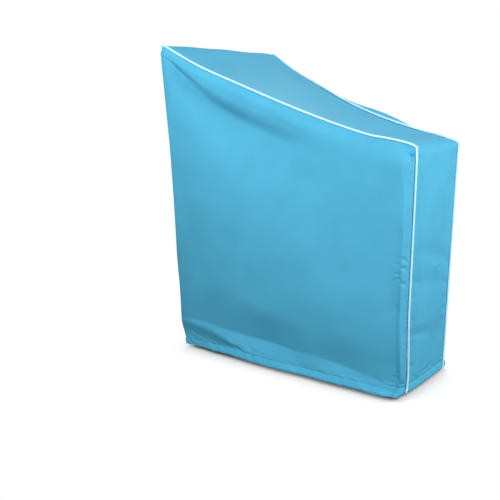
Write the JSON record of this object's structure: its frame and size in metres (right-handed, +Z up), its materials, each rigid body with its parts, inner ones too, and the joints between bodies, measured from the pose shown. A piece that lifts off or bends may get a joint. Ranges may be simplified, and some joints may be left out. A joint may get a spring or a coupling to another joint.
{
  "type": "exercise bike cover",
  "caption": "Fitted cloth cover for an exercise bike, open below: flat sides, a wide strip over the sloping top and both ends, and piped seams.",
  "frame": {"origin": "under the cloth of the top, near the tall end, where the machine's handlebar carries it", "axes": "+Z up; +X from the tall handlebar end to the low saddle end; -Y to the side that faces the viewer"},
  "size_m": [1.0898, 0.8041, 1.3395],
  "materials": {
    "cover_cloth": "smooth light blue polyester plain weave with a water-repellent coat and a faint sheen",
    "seam_piping": "near white covered piping cord"
  },
  "bodies": {
    "root": {"side_panel_near": "cover_cloth", "side_panel_far": "cover_cloth", "gusset_strip": "cover_cloth", "piping_near": "seam_piping", "piping_far": "seam_piping"}
  },
  "joints": []
}
